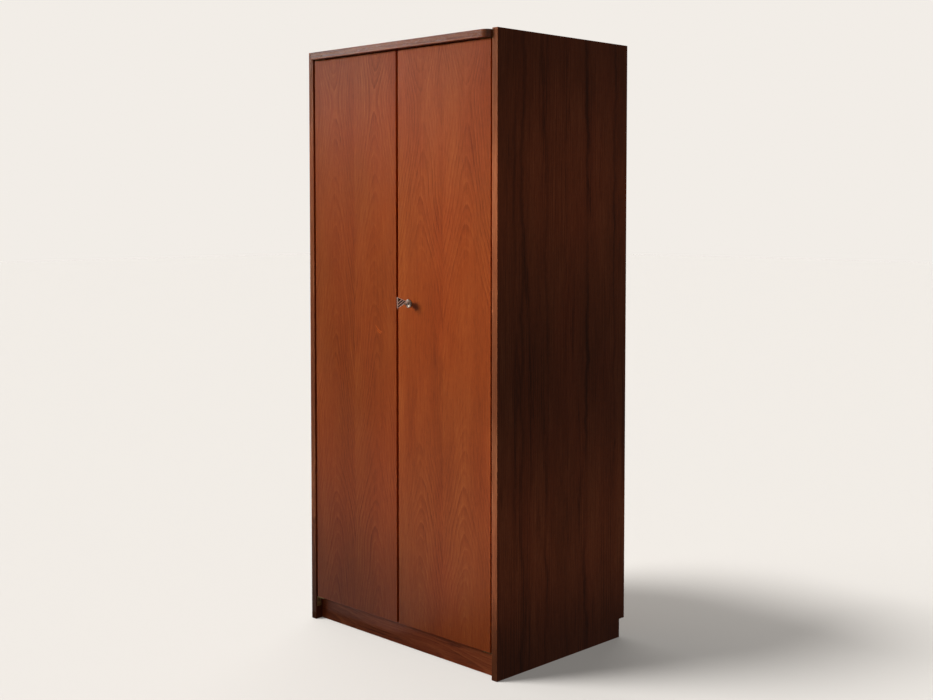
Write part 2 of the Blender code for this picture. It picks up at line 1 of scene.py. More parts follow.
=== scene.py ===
"""Looks for a two-door teak wardrobe: camera, light, floor, wood, metal and small fittings."""

import json
from dataclasses import dataclass
from math import acos, cos, pi, radians, sin, tau

import bmesh
import bpy
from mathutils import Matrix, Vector


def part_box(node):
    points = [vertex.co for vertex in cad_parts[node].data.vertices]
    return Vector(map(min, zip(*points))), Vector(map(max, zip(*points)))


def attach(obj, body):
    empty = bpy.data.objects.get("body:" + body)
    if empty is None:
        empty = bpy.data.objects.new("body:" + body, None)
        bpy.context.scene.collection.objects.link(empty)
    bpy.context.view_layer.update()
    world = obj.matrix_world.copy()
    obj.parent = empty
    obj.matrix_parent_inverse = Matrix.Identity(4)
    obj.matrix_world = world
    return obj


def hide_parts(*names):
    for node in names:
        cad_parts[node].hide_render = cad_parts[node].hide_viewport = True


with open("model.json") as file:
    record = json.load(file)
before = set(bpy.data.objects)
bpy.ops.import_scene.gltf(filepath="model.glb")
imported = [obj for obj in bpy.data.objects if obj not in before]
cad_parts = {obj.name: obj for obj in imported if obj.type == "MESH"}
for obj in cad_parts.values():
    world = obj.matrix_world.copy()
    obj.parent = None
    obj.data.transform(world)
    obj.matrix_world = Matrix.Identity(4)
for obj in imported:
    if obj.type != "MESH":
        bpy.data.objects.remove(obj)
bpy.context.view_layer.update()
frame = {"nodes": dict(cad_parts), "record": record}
NODES = frame["nodes"]
LEFT_DOOR_LOW, LEFT_DOOR_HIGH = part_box("left_door")
RIGHT_DOOR_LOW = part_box("right_door")[0]
DOOR_FACE = LEFT_DOOR_LOW[1]

# Camera: in front and to the right of the wardrobe, at about chest height
CAMERA_PLACE = (2.781, -2.766, 1.266)
CAMERA_AZIMUTH = radians(44.97)
CAMERA_PITCH = radians(2.840)
CAMERA_LENS = 50.13
CAMERA_SHIFT = (0.0029, -0.0767)

# Key: the y of its bow's neck and of its tip, and half its thickness
BOW_NECK = -0.2655
KEY_TIP = -0.2272
BOW_HALF = 0.0013
# The fan of its bow: half the neck's height, how far from the rim's face its sides would reach
# their full height, the widths of the rim and the side bars, and the rim's rounded corners
FAN_NECK = 0.0032
FAN_CLOSE = 0.0020
RIM_WIDE = 0.0026
BAR_WIDE = 0.0013
CORNER_DROP = 0.0022
CORNER_SOFT = 0.0012
# The fan's ribs, which slant across it
RIB_COUNT = 3
RIB_STEP = 0.0078
RIB_SLOPE = 0.57
RIB_HALF = 0.0014
RIB_STEPS = 60
# The key's moulded collar, as (place along the stem, radius), then its stem, bit and ward
COLLAR_GAP = 0.001
COLLAR = (
    (-0.0030, 0.0012), (-0.0024, 0.0021), (0.0, 0.0024), (0.0004, 0.0032), (0.0010, 0.0035),
    (0.0018, 0.0035), (0.0024, 0.0026), (0.0030, 0.0026),
)
STEM_RADIUS = 0.0024
STEM_SOFT = 0.0004
BIT_LONG = 0.0042
BIT_DEEP = 0.0080
BIT_HALF = 0.0010
WARD_START = 0.0013
WARD_END = 0.0021
WARD_DEEP = 0.0018

# Screws: the radius of each kind's head, and how far it sits from its plate's edges or middle
CASE_SCREW, CASE_INSET = 0.0024, (0.005, 0.005)
STRIKE_SCREW, STRIKE_INSET = 0.0022, 0.006
BOLT_SCREW, BOLT_INSET = 0.0014, (0.0018, 0.006)
KEEPER_SCREW, KEEPER_INSET = 0.0016, 0.0032
BRACKET_SCREW, BRACKET_RISE = 0.0026, 0.010
LEAF_SCREW, LEAF_SCREW_PLACES = 0.0020, (0.336, 0.349)
SOCKET_SCREW, SOCKET_REACH = 0.0017, 0.0142
LEAF_THICK = 0.0015
UPPER_LEAF_THICK = 0.0012
# How deep a head's disc goes into its plate, and half its slot's width as a share of its radius
SCREW_SUNK = 0.0004
SLOT_SHARE = 0.15
# Nails of the back panel: a flat head's (height, radius), and the rows they stand in
NAIL_HEAD = ((-0.0004, 0.0016), (0.0002, 0.0017), (0.0004, 0.0012))
NAIL_INSET = 0.009
NAIL_STEP = 0.12

# Stage: what the camera sees, the weak light from all sides, and the floor's own share of it
FLOOR_SIZE = 60.0
BACKDROP = (0.887, 0.847, 0.799)
FILL = (0.125, 0.115, 0.105)
FLOOR_MATT = 0.30
FLOOR_GLOW = 0.190

# Front window: the way its light travels is also the way the key's shadow falls
KEY_TRAVEL = (0.75, 0.66, -0.25)
KEY_AIM = (0.40, -0.25, 1.25)
KEY_DISTANCE = 6.0
KEY_SIZE = (2.6, 1.7)
KEY_POWER = 41.0
KEY_SPREAD = radians(46)
# High window: gives the doors and the top rail their sheen
SHEEN_AIM = (0.0, -0.25, 1.35)
SHEEN_TRAVEL = (0.90, 0.43, -0.30)
SHEEN_DISTANCE = 6.8
SHEEN_SIZE = (4.5, 2.6)
SHEEN_POWER = 60.0
# Low window: gives the doors' foot its sheen
GLOW_PLACE = (-1.35, -1.55, 0.02)
GLOW_SIZE = (2.6, 2.6)
GLOW_POWER = 9.0
# Back window: lights the back and the left side
BACK_AIM = (-0.2, 0.3, 1.0)
BACK_TRAVEL = (0.62, -0.70, -0.30)
BACK_DISTANCE = 4.0
BACK_SIZE = (2.6, 2.6)
BACK_POWER = 110.0
# Glint: lights the key alone
GLINT_TRAVEL = (-0.70, 0.45, -0.40)
GLINT_DISTANCE = 1.6
GLINT_SIZE = (0.9, 0.9)
GLINT_POWER = 15.0
# Two suns of the floor: a high one, and a wide one from the left
SHADOW_TRAVEL = (0.32, 0.353, -0.879)
SHADOW_SPREAD = radians(17)
SHADOW_SUN = 6.3
ROOF_TRAVEL = (0.89, -0.034, -0.455)
ROOF_SPREAD = radians(115)
ROOF_SUN = 4.9
# A card that softly shades the wardrobe's top, left and foot from the front window: its shadow's
# edge on the doors, as (x, z), and how far it stands on the way from the doors to the window
CARD_EDGE = (
    (1.2, 2.00), (-0.50, 1.92), (-0.50, 0.16), (1.2, -0.40),
    (1.2, -2.5), (-3.0, -2.5), (-3.0, 3.4), (1.2, 3.4),
)
CARD_SHARE = 0.33


# Helpers for material nodes


def is_socket(value):
    return isinstance(value, bpy.types.NodeSocket)


class Graph:
    """The node graph of one material. A value that isn't a socket is set as a constant."""

    def __init__(self, name):
        self.material = bpy.data.materials.new(name)
        self.material.use_nodes = True
        self.nodes = self.material.node_tree.nodes
        self.links = self.material.node_tree.links
        self.shader = self.nodes["Principled BSDF"]
        source = self.nodes.new("ShaderNodeTexCoord")
        split = self.nodes.new("ShaderNodeSeparateXYZ")
        self.point = source.outputs["Object"]
        self.links.new(self.point, split.inputs[0])
        self.place = dict(zip("xyz", split.outputs))

    def feed(self, socket, value):
        if is_socket(value):
            self.links.new(value, socket)
        else:
            socket.default_value = value

    def set(self, **values):
        """Constants and sockets of the shader, such as Base_Color or Roughness."""
        for name, value in values.items():
            self.feed(self.shader.inputs[name.replace("_", " ")], value)

    def math(self, operation, first, second=0.0, third=0.0, clamp=False):
        node = self.nodes.new("ShaderNodeMath")
        node.operation = operation
        node.use_clamp = clamp
        for socket, value in zip(node.inputs, (first, second, third)):
            self.feed(socket, value)
        return node.outputs[0]

    def plus(self, value, amount, part):
        """value + amount * part."""
        return self.math("MULTIPLY_ADD", part, amount, value)

    def vector(self, x, y, z):
        node = self.nodes.new("ShaderNodeCombineXYZ")
        for socket, value in zip(node.inputs, (x, y, z)):
            self.feed(socket, value)
        return node.outputs[0]

    def noise(self, point, scales, seed=0.0, detail=2.0, roughness=0.5, distortion=0.0):
        """Smooth noise from 0 to 1, with its own scale along each direction of a point."""
        spread = self.nodes.new("ShaderNodeVectorMath")
        spread.operation = "MULTIPLY_ADD"
        self.links.new(point, spread.inputs[0])
        spread.inputs[1].default_value = scales
        spread.inputs[2].default_value = (seed * 3.7, seed * 5.3, seed * 2.9)
        node = self.nodes.new("ShaderNodeTexNoise")
        self.links.new(spread.outputs[0], node.inputs["Vector"])
        node.inputs["Scale"].default_value = 1.0
        node.inputs["Detail"].default_value = detail
        node.inputs["Roughness"].default_value = roughness
        node.inputs["Distortion"].default_value = distortion
        return node.outputs["Fac"]

    def random(self, value):
        """One random number for each whole number."""
        node = self.nodes.new("ShaderNodeTexWhiteNoise")
        node.noise_dimensions = "1D"
        self.feed(node.inputs["W"], value)
        return node.outputs["Value"]

    def span(self, value, low, high, to_low=0.0, to_high=1.0, smooth=False):
        node = self.nodes.new("ShaderNodeMapRange")
        node.interpolation_type = "SMOOTHSTEP" if smooth else "LINEAR"
        for name, number in zip(
            ("Value", "From Min", "From Max", "To Min", "To Max"),
            (value, low, high, to_low, to_high),
        ):
            self.feed(node.inputs[name], number)
        return node.outputs["Result"]

    def ramp(self, factor, stops):
        node = self.nodes.new("ShaderNodeValToRGB")
        self.feed(node.inputs["Fac"], factor)
        elements = node.color_ramp.elements
        while len(elements) < len(stops):
            elements.new(0.5)
        for element, (place, colour) in zip(elements, stops):
            element.position = place
            element.color = (*colour, 1.0)
        return node.outputs["Color"]

    def mix(self, factor, first, second):
        node = self.nodes.new("ShaderNodeMix")
        node.data_type = "RGBA"
        self.feed(node.inputs["Factor"], factor)
        sockets = [item for item in node.inputs if item.type == "RGBA"]
        for socket, value in zip(sockets, (first, second)):
            self.feed(socket, value if is_socket(value) else (*value, 1.0))
        return [item for item in node.outputs if item.type == "RGBA"][0]

    def shade(self, colour, factor):
        """A colour made lighter or darker by a grey factor that varies over the surface."""
        node = self.nodes.new("ShaderNodeVectorMath")
        node.operation = "SCALE"
        self.feed(node.inputs[0], colour)
        self.feed(node.inputs["Scale"], factor)
        return node.outputs[0]

    def tint(self, colour, shift, factor):
        """A colour multiplied by a second one, as far as the factor says."""
        node = self.nodes.new("ShaderNodeVectorMath")
        node.operation = "MULTIPLY"
        self.feed(node.inputs[0], colour)
        self.feed(node.inputs[1], self.mix(factor, (1.0, 1.0, 1.0), shift))
        return node.outputs[0]

    def edge_distance(self, box):
        """How far a point on a board's surface is from the board's nearest edge."""
        gaps = []
        for letter, low, high in zip("xyz", *box):
            away = self.math("ABSOLUTE", self.math("SUBTRACT", self.place[letter], (low + high) / 2))
            gaps.append(self.math("SUBTRACT", (high - low) / 2, away))
        small = self.math("MINIMUM", gaps[0], gaps[1])
        large = self.math("MAXIMUM", gaps[0], gaps[1])
        return self.math("MAXIMUM", small, self.math("MINIMUM", large, gaps[2]))

    def bump(self, height, strength, distance):
        node = self.nodes.new("ShaderNodeBump")
        node.inputs["Strength"].default_value = strength
        node.inputs["Distance"].default_value = distance
        self.feed(node.inputs["Height"], height)
        self.feed(self.shader.inputs["Normal"], node.outputs[0])


# Wood


# Colours of each kind of wood
TEAK = dict(
    dark=(0.180, 0.026, 0.0045), mid=(0.332, 0.059, 0.0105), light=(0.47, 0.108, 0.023)
)
TEAK_SIDE = dict(
    dark=(0.105, 0.022, 0.0075), mid=(0.265, 0.057, 0.018), light=(0.43, 0.118, 0.043)
)
TEAK_SOLID = dict(dark=(0.12, 0.026, 0.009), mid=(0.22, 0.055, 0.018), light=(0.34, 0.105, 0.038))
TEAK_FOOT = dict(dark=(0.130, 0.024, 0.007), mid=(0.30, 0.060, 0.018), light=(0.46, 0.115, 0.038))
PALE = dict(dark=(0.22, 0.095, 0.040), mid=(0.36, 0.18, 0.085), light=(0.47, 0.27, 0.145))
PLY = dict(dark=(0.33, 0.145, 0.058), mid=(0.47, 0.235, 0.105), light=(0.58, 0.33, 0.165))

# How many features per metre a noise has across, through and along the grain
DRIFT = (2.6, 2.6, 1.7)
WAVER = (30.0, 30.0, 4.5)
PATCH = (8.0, 8.0, 2.4)
FIBRE = (190.0, 190.0, 8.0)
HAIR = (520.0, 520.0, 36.0)
CLOUD = (13.0, 13.0, 2.2)
FLECK = (260.0, 260.0, 16.0)
STREAK = (38.0, 38.0, 2.2)
HUE = (5.0, 5.0, 2.0)
PORE = (1700.0, 1700.0, 60.0)


@dataclass
class WoodLook:
    """One board's wood, sliced so that its year rings make tall pointed arches."""

    grain: str  # three directions: across the board, through it, and along it
    dark: tuple
    mid: tuple
    light: tuple
    seed: float = 0.0
    leaf: float = 0.0  # width of a veneer leaf, each the mirror image of the last
    centre: float = 0.0  # place of the board's middle, or of the joint between two leaves
    heart: float = 0.0  # how far the tree's middle lies to the side
    pith: float = 0.034  # how far the tree's middle lies behind
    taper: float = 0.20  # how fast the tree narrows along the board
    crown: float = 0.0  # height where the arches close into loops and turn over
    ring: float = 0.0105  # width of a year ring
    sway: float = 0.085  # how far the year rings wander
    figure: float = 0.34  # how strongly the year rings show
    streak: float = 0.0  # how dark the broad streaks are
    flank: float = 0.0  # painted sheen: how much darker one side of each leaf is than the other, as the light falls on its grain
    rough: float = 0.33  # how rough its oil is
    shine: float = 0.26  # how strongly its oil shines
    places: tuple = ()  # veins, each as its place, half width and strength
    marks: object = None  # draws the marks on the board: scratches or a light spot
    painted_edge_sheen: tuple = ()  # painted highlight and sheen on the strip along the front edge: what its colour is multiplied by
    painted_light_bands: tuple = ()  # painted bands of light and shade along the board: the first light band's place, spacing, strength
    dull_top: bool = False  # leaves the upper edge without a shine


def rings(graph, look, point, side, deep, climb):
    """Dark lines where the board's face cuts the tree's cone-shaped year rings."""
    seed = look.seed
    drift = graph.noise(point, DRIFT, seed, 2.0)
    waver = graph.noise(point, WAVER, seed + 1, 4.0, 0.62)
    reach = graph.math("SQRT", graph.math("MULTIPLY_ADD", side, side,
                                          graph.math("MULTIPLY", deep, deep)))
    radius = graph.plus(graph.math("ADD", reach, climb), look.sway, drift)
    radius = graph.plus(radius, 0.007, waver)
    uneven = graph.noise(graph.vector(radius, 0.0, 0.0), (60.0, 1.0, 1.0), seed + 9, 2.0)
    count = graph.plus(graph.math("DIVIDE", radius, look.ring), 1.4, uneven)
    phase = graph.math("FRACT", count)
    year = graph.random(graph.math("FLOOR", count))
    rise = graph.span(phase, 0.45, 0.88, smooth=True)
    fall = graph.span(phase, 0.90, 1.0, 1.0, 0.0, smooth=True)
    line = graph.math("MULTIPLY", graph.math("MULTIPLY", rise, fall), graph.plus(0.2, 0.8, year))
    pale = graph.math("MULTIPLY", graph.span(phase, 0.0, 0.35, 1.0, 0.0), 0.7)
    patch = graph.noise(point, PATCH, seed + 10, 2.0)
    strength = graph.span(patch, 0.38, 0.64, 0.12, 1.0)
    fine = graph.noise(graph.vector(radius, 0.0, 0.0), (420.0, 1.0, 1.0), seed + 12, 2.0)
    both = graph.plus(graph.math("SUBTRACT", line, pale), 1.6, graph.math("SUBTRACT", fine, 0.5))
    return graph.math("MULTIPLY", both, strength), phase


def veins(graph, tone, across, along, places, seed):
    """Dark wavy streaks along the grain, each given as its place, half width and strength."""
    for number, (place, half, strength) in enumerate(places):
        path = graph.vector(number * 7.0, 0.0, along)
        wave = graph.noise(path, (1.0, 1.0, 5.5), seed + number, 4.0, 0.6)
        fade = graph.noise(path, (1.0, 1.0, 2.6), seed + number + 0.5, 2.0)
        away = graph.plus(graph.math("SUBTRACT", across, place), 0.05,
                          graph.math("SUBTRACT", wave, 0.5))
        near = graph.span(graph.math("ABSOLUTE", away), 0.0, half, 1.0, 0.0, smooth=True)
        shown = graph.math("MULTIPLY", near, graph.span(fade, 0.35, 0.62, 0.15, 1.0))
        tone = graph.plus(tone, strength, shown)
    return tone


def lay_leaves(graph, look, across):
    """Folds the board into veneer leaves: the place in a leaf, its number, and the slope across it
    that grades the painted sheen.
    """
    side = graph.math("SUBTRACT", across, look.centre)
    if not look.leaf:
        return side, 0.0, 0.0
    fold = graph.math("DIVIDE", side, look.leaf)
    painted_sheen_slope = graph.math("SUBTRACT", graph.math("FRACT", fold), 0.5)
    side = graph.math("SUBTRACT", graph.math("PINGPONG", side, look.leaf),
                      look.leaf / 2 - look.heart)
    return side, graph.math("FLOOR", fold), painted_sheen_slope


def slice_tree(graph, look, side, sheet, along):
    """The way to the side of the tree's middle, and how far the rings climb along it."""
    if not look.crown:
        return side, graph.math("MULTIPLY", along, look.taper)
    drop = graph.math("SUBTRACT", along, look.crown)
    round_top = graph.math("MULTIPLY_ADD", drop, drop, 0.0016)
    climb = graph.math("MULTIPLY", graph.math("SQRT", round_top), -look.taper)
    path = graph.vector(0.0, sheet, along)
    wander = graph.noise(path, (1.0, 0.3, 2.6), look.seed + 11, 2.0)
    return graph.plus(side, 0.07, graph.math("SUBTRACT", wander, 0.5)), climb


def wood_tone(graph, look, point, late, painted_sheen_slope):
    """How dark the wood is: broken year rings, fibres, hair lines, clouds and streaks, and a painted
    sheen that darkens one side of each leaf.
    """
    fibre = graph.noise(point, FIBRE, look.seed + 2, 4.0, 0.75)
    hair = graph.noise(point, HAIR, look.seed + 3, 2.0, 0.7)
    cloud = graph.noise(point, CLOUD, look.seed + 4, 3.0, 0.6)
    fleck = graph.noise(point, FLECK, look.seed + 13, 3.0, 0.7)
    broken = graph.math("MULTIPLY", late, graph.span(fleck, 0.34, 0.60, 0.15, 1.35))
    tone = graph.plus(0.47, look.figure, broken)
    for noise, strength in ((fibre, 0.80), (hair, 0.50), (cloud, 0.75)):
        tone = graph.plus(tone, strength, graph.math("SUBTRACT", noise, 0.5))
    # Painted sheen: flank makes one side of each veneer leaf darker than the other, standing in for
    # light on the grain
    if look.flank:
        tone = graph.plus(tone, look.flank, painted_sheen_slope)
    if look.streak:
        vein = graph.noise(point, STREAK, look.seed + 6, 5.0, 0.65, 0.5)
        tone = graph.plus(tone, look.streak, graph.span(vein, 0.56, 0.68, smooth=True))
    return tone, fibre


def add_painted_light_bands(graph, look, colour, along):
    """Painted light and shade: slow bands from light to dark along the board, and painted shade that
    makes its foot darkest.
    """
    first, spacing, amount = look.painted_light_bands
    turn = tau / spacing
    wave = graph.math("COSINE", graph.math("MULTIPLY_ADD", along, turn, -first * turn))
    # Painted shade that darkens the board towards its foot
    low = graph.span(along, 0.02, 0.32, 0.52, 1.0, smooth=True)
    return graph.shade(colour, graph.math("MULTIPLY", low, graph.plus(1.0, amount, wave)))


def find_wear(graph, look, box):
    """Where the board is rubbed along its edges, and where it has its marks."""
    rub = graph.noise(graph.point, (55, 55, 55), look.seed + 7, 3.0, 0.6)
    edge = graph.plus(graph.edge_distance(box), -0.0045, graph.math("SUBTRACT", rub, 0.5))
    wear = graph.span(edge, 0.0006, 0.0034, 0.55, 0.0, smooth=True)
    if look.marks:
        wear = graph.math("MAXIMUM", wear, look.marks(graph))
    return wear


def find_roughness(graph, look, box, tone, pores, wear):
    """Thin satin oil: rougher in dark grain and in pores, and smoother where it is rubbed."""
    satin = graph.plus(graph.plus(look.rough - 0.03, 0.10, tone), 0.14, pores)
    smear = graph.noise(graph.point, (9.0, 9.0, 5.0), look.seed + 8, 3.0)
    satin = graph.plus(satin, 0.14, graph.math("SUBTRACT", smear, 0.5))
    satin = graph.plus(satin, -0.08, wear)
    if look.dull_top:
        top = graph.span(graph.place["z"], box[1][2] - 0.0016, box[1][2] - 0.0004)
        satin = graph.plus(satin, 0.45, top)
    return satin


def wood(name, box, look):
    """The material of one board, worked out in the board's own directions."""
    graph = Graph(name)
    across, through, along = (graph.place[letter] for letter in look.grain)
    side, sheet, painted_sheen_slope = lay_leaves(graph, look, across)
    point = graph.vector(side, graph.plus(through, 0.02, sheet), along)
    side, climb = slice_tree(graph, look, side, sheet, along)
    thickness = "xyz".index(look.grain[1])
    middle = (box[0][thickness] + box[1][thickness]) / 2
    deep = graph.math("ADD", through, look.pith - middle)
    late, phase = rings(graph, look, point, side, deep, climb)
    tone, fibre = wood_tone(graph, look, point, late, painted_sheen_slope)
    tone = veins(graph, tone, across, along, look.places, look.seed + 20)
    tone = graph.math("ADD", tone, 0.0, clamp=True)
    colour = graph.ramp(tone, ((0.0, look.light), (0.5, look.mid), (1.0, look.dark)))
    if look.leaf:
        colour = graph.shade(colour, graph.plus(0.95, 0.10, graph.random(sheet)))
    hue = graph.noise(point, HUE, look.seed + 14, 2.0)
    colour = graph.tint(colour, (0.93, 1.03, 1.05), graph.span(hue, 0.40, 0.62))
    # Painted light and shade: bands along the board, and a darker foot
    if look.painted_light_bands:
        colour = add_painted_light_bands(graph, look, colour, along)
    dash = graph.noise(point, PORE, look.seed + 5, 1.0)
    early = graph.math("SUBTRACT", 1.0, graph.math("MULTIPLY", phase, 0.6))
    pores = graph.math("MULTIPLY", graph.span(dash, 0.58, 0.68), early)
    colour = graph.shade(colour, graph.plus(1.0, -0.38, pores))
    # Painted highlight and sheen: the strip along the front edge is made lighter and greyer
    if look.painted_edge_sheen:
        face = box[0][1]
        front = graph.span(graph.place["y"], face + 0.0004, face + 0.0010, 1.0, 0.0)
        colour = graph.tint(colour, look.painted_edge_sheen, front)
    wear = find_wear(graph, look, box)
    colour = graph.mix(wear, colour, graph.shade(colour, 1.75))
    satin = find_roughness(graph, look, box, tone, pores, wear)
    graph.set(Base_Color=colour, Roughness=satin, IOR=1.47, Specular_IOR_Level=look.shine)
    graph.bump(graph.plus(graph.math("MULTIPLY", pores, -1.0), 0.45, fibre), 0.22, 0.00030)
    return graph.material


LIGHT_SPOT_HEIGHT = 1.0065


def scratch(graph, start, end, sag, half):
    """A light mark on an upright face, along a shallow curve from start to end, each (x, z)."""
    run = graph.span(graph.place["x"], start[0], end[0])
    back = graph.math("SUBTRACT", 1.0, run)
    bow = graph.math("MULTIPLY", run, back)
    line = graph.plus(graph.span(run, 0.0, 1.0, start[1], end[1]), -sag, bow)
    away = graph.math("ABSOLUTE", graph.math("SUBTRACT", graph.place["z"], line))
    near = graph.span(away, half * 0.4, half, 1.0, 0.0)
    return graph.math("MULTIPLY", near, graph.span(bow, 0.0, 0.08))


def door_scratches(graph):
    """Two short curved scratches beside the lock, where a ring or a key has slipped."""
    first = scratch(graph, (-0.096, 0.941), (-0.066, 0.9215), 0.020, 0.0026)
    second = scratch(graph, (-0.090, 0.927), (-0.070, 0.9175), 0.010, 0.0022)
    return graph.math("MULTIPLY", graph.math("MAXIMUM", first, second), 0.95)


def edge_light_spot(graph):
    """A small light spot on the right side panel's front edge."""
    node = graph.nodes.new("ShaderNodeVectorMath")
    node.operation = "DISTANCE"
    graph.links.new(graph.point, node.inputs[0])
    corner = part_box("right_side_panel")[0]
    node.inputs[1].default_value = (corner[0] + 0.0012, corner[1], LIGHT_SPOT_HEIGHT)
    return graph.span(node.outputs["Value"], 0.0020, 0.0050, 1.0, 0.0)


def box_of(node):
    low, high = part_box(node)
    return tuple(low), tuple(high)


# How each board's grain runs: directions, colours and figure
DOOR_LEAF = (LEFT_DOOR_HIGH[0] - LEFT_DOOR_LOW[0]) / 2
# flank paints a sheen across each door leaf that is darker on the leaf's right side
DOOR_LOOK = dict(grain="xyz", leaf=DOOR_LEAF, flank=0.16, **TEAK)
PANEL_LOOK = dict(
    grain="yxz", leaf=0.30, centre=0.032, heart=0.42, pith=0.05, taper=0.006, ring=0.0085,
    # painted_edge_sheen paints a highlight and sheen on the side panels' front edge strip
    sway=0.030, figure=0.34, streak=0.30, painted_edge_sheen=(1.22, 1.55, 1.85), shine=0.17,
    # painted_light_bands paints bands of light and shade along the side panels, and painted shade at
    # their foot
    painted_light_bands=(1.30, 1.0, 0.26), dull_top=True, **TEAK_SIDE,
)
PANEL_VEINS = (
    (-0.189, 0.010, 0.22),
    (-0.157, 0.013, 0.30),
    (-0.058, 0.010, 0.28),
    (0.032, 0.003, 0.20),
    (0.116, 0.014, 0.42),
    (0.244, 0.010, 0.30),
)
BOARDS = {
    "left_door": dict(centre=LEFT_DOOR_LOW[0], crown=1.60, seed=2.0, marks=door_scratches,
                      **DOOR_LOOK),
    "right_door": dict(centre=RIGHT_DOOR_LOW[0], crown=1.58, seed=2.6, **DOOR_LOOK),
    "front_plinth": dict(grain="zyx", pith=0.05, taper=0.03, streak=0.5, seed=5.0, **TEAK_FOOT),
    "left_side_panel": dict(seed=9.0, places=PANEL_VEINS, **PANEL_LOOK),
    "right_side_panel": dict(seed=9.5, places=PANEL_VEINS, marks=edge_light_spot, **PANEL_LOOK),
    "top_panel": dict(grain="yzx", pith=0.25, taper=0.05, figure=0.5, streak=0.4, seed=12.0,
                      rough=0.66, shine=0.06, **TEAK_SIDE),
    "top_rail": dict(grain="zyx", pith=0.09, taper=0.03, figure=0.5, rough=0.22, shine=1.0,
                     seed=13.0, dull_top=True, **TEAK_SOLID),
    "meeting_strip": dict(grain="xyz", pith=0.09, taper=0.05, figure=0.5, seed=17.0,
                          **TEAK_SOLID),
    "back_panel": dict(grain="xyz", pith=0.20, taper=0.10, ring=0.016, rough=0.62, seed=31.0,
                       shine=0.2, **PLY),
    "partition": dict(grain="yxz", pith=0.20, taper=0.08, seed=23.0, **PALE),
    "rear_plinth": dict(grain="zyx", pith=0.05, taper=0.03, seed=24.0, **PALE),
    "door_stop_lath": dict(grain="zyx", pith=0.05, taper=0.03, seed=25.0, **PALE),
}


def level_board(seed):
    """A shelf or floor, whose grain runs from side to side."""
    return dict(grain="yzx", pith=0.20, taper=0.08, seed=seed, **PALE)


# Metal


def metal(name, colour, rough, stain, seed):
    """Cast or drawn metal with fine scratches and a dull bloom."""
    graph = Graph(name)
    scored = graph.noise(graph.point, (1400, 1400, 160), seed, 3.0, 0.6)
    bloom = graph.noise(graph.point, (130, 130, 130), seed + 1, 3.0, 0.6)
    dull = graph.span(bloom, 0.40, 0.72)
    tint = graph.mix(dull, colour, stain)
    graph.set(Base_Color=graph.shade(tint, graph.plus(0.85, 0.3, scored)), Metallic=1.0)
    graph.set(Roughness=graph.plus(graph.plus(rough, 0.22, dull), 0.10, scored))
    graph.bump(scored, 0.15, 0.0002)
    return graph.material


def key_metal(name, middle, half):
    """Cast metal whose thin web between the ribs is near black, and whose raised parts are rubbed.
    """
    graph = Graph(name)
    scored = graph.noise(graph.point, (1400, 1400, 1400), 4.0, 3.0, 0.6)
    bloom = graph.noise(graph.point, (300, 300, 300), 5.0, 3.0, 0.6)
    # The thin web between the bow's ribs is made near black
    away = graph.math("ABSOLUTE", graph.math("SUBTRACT", graph.place["x"], middle))
    dark_web = graph.span(away, half * 0.52, half * 0.62, 1.0, 0.0)
    bow = graph.span(graph.place["y"], BOW_NECK - 0.001, BOW_NECK + 0.001, 1.0, 0.0)
    dark_web = graph.math("MULTIPLY", dark_web, bow)
    tint = graph.mix(graph.span(bloom, 0.38, 0.66), (0.86, 0.68, 0.60), (0.60, 0.44, 0.36))
    tint = graph.mix(dark_web, tint, (0.030, 0.016, 0.010))
    graph.set(Base_Color=graph.shade(tint, graph.plus(0.85, 0.3, scored)), Metallic=0.45)
    worn = graph.plus(graph.plus(0.26, 0.20, bloom), 0.30, dark_web)
    graph.set(Roughness=graph.plus(worn, 0.08, scored))
    graph.bump(scored, 0.15, 0.0001)
    return graph.material


def make_metals():
    return {
        "brass": metal("aged_brass", (0.46, 0.32, 0.145), 0.34, (0.20, 0.13, 0.062), 3.0),
        "nickel": metal("worn_nickel", (0.82, 0.70, 0.60), 0.20, (0.46, 0.32, 0.24), 6.0),
        "steel": metal("plain_steel", (0.56, 0.56, 0.55), 0.30, (0.34, 0.33, 0.32), 8.0),
    }


def paint_nodes(metals):
    for seed, entry in enumerate(frame["record"]["subparts"]):
        node, slot = entry["node"], entry["material_slot"]
        if slot in metals:
            look = metals[slot]
        else:
            board = BOARDS.get(node) or level_board(40.0 + seed)
            look = wood("wood_" + node, box_of(node), WoodLook(**board))
        mesh = NODES[node].data
        mesh.materials.clear()
        mesh.materials.append(look)


# Small fittings, built as meshes


def loft(mesh, loops):
    """Adds a closed skin through loops of points, with a flat cap at each end."""
    rows = [[mesh.verts.new(point) for point in loop] for loop in loops]
    for first, second in zip(rows, rows[1:]):
        for number in range(len(first)):
            after = (number + 1) % len(first)
            mesh.faces.new((first[number], first[after], second[after], second[number]))
    mesh.faces.new(rows[0][::-1])
    mesh.faces.new(rows[-1])


def turned(mesh, profile, centre, axis, steps=24):
    """Adds a turned shape: its profile is a list of (place along the axis, radius)."""
    axis = Vector(axis).normalized()
    across = axis.orthogonal().normalized()
    other = axis.cross(across)
    loops = []
    for height, radius in profile:
        middle = Vector(centre) + axis * height
        turns = [tau * step / steps for step in range(steps)]
        loops.append([middle + (across * cos(a) + other * sin(a)) * radius for a in turns])
    loft(mesh, loops)


def slab(mesh, outline, middle, half, soft):
    """Adds a plate that stands in the YZ plane: its outline as (y, z), with soft edges."""
    count = len(outline)
    heart = Vector((sum(y for y, z in outline) / count, sum(z for y, z in outline) / count))
    loops = []
    for offset, inset in ((-half, soft), (soft - half, 0.0), (half - soft, 0.0), (half, soft)):
        loop = []
        for point in outline:
            inward = (heart - Vector(point)).normalized() * inset
            loop.append((middle + offset, point[0] + inward.x, point[1] + inward.y))
        loops.append(loop)
    loft(mesh, loops)


